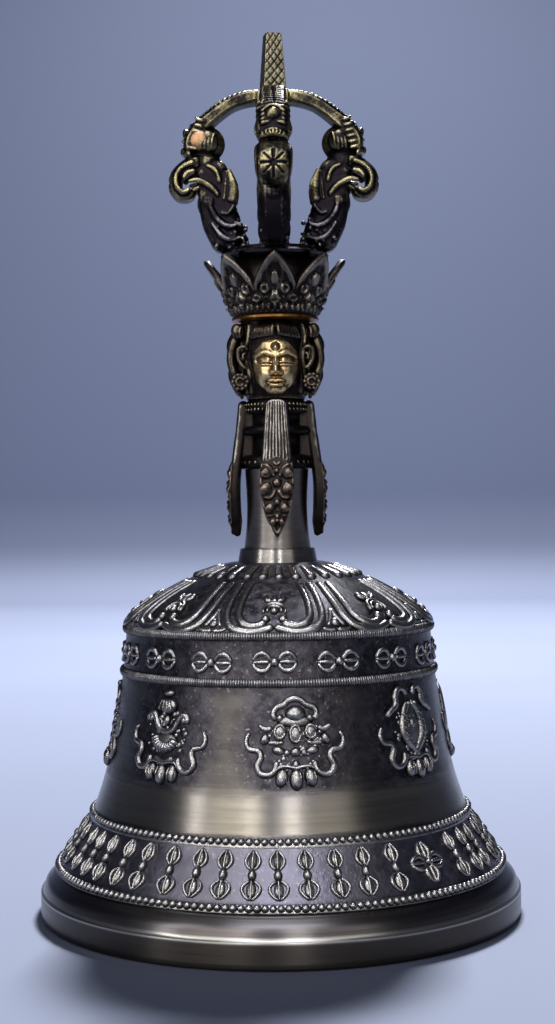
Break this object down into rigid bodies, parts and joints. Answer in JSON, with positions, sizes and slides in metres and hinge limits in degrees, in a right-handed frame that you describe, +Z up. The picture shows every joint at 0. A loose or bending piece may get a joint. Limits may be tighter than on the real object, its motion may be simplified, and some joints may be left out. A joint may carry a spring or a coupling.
{
  "type": "tibetan bell",
  "caption": "Cast hand bell with a flared body, a hanging clapper and a handle with a calm gilt face, ribbons, a leaf crown and a closed pronged vajra.",
  "frame": {"origin": "centre of the plane that the lip rests on", "axes": "+Z up along the bell's axis towards the tip of the vajra, -Y towards the front of the face on the handle, +X to the viewer's right"},
  "size_m": [0.093, 0.093, 0.1704],
  "materials": {
    "bell_bronze": "dark patina with polished relief",
    "brushed_brass": "brushed, antique",
    "blackened_brass": "blackened, worn bright on edges",
    "gilt_brass": "polished, with dark recesses",
    "bare_steel": "plain zinc grey",
    "clapper_iron": "dark forged"
  },
  "bodies": {
    "bell": {"bell_shell": "bell_bronze", "base_collar": "brushed_brass", "neck_sleeve": "brushed_brass", "grip_barrel": "blackened_brass", "streamer_front": "blackened_brass", "streamer_right": "blackened_brass", "streamer_back": "blackened_brass", "streamer_left": "blackened_brass", "head": "gilt_brass", "crown_brim": "gilt_brass", "leaf_crown": "blackened_brass", "lotus_seat": "blackened_brass", "prong_front": "blackened_brass", "prong_right": "blackened_brass", "prong_back": "blackened_brass", "prong_left": "blackened_brass", "center_prong": "blackened_brass", "tie_bolt": "bare_steel", "tie_washer": "bare_steel", "tie_nut": "bare_steel"},
    "link": {"clapper_link": "bare_steel"},
    "clapper": {"clapper_rod": "bare_steel", "striker": "clapper_iron"}
  },
  "joints": [
    {"name": "link_swing", "type": "hinge", "parent": "bell", "child": "link", "pos_m": [0, 0, 0.05375], "axis": [0, 1, 0], "range_deg": [-34, 34]},
    {"name": "clapper_swing", "type": "hinge", "parent": "link", "child": "clapper", "pos_m": [0, 0, 0.0493], "axis": [1, 0, 0], "range_deg": [-21, 21]}
  ]
}
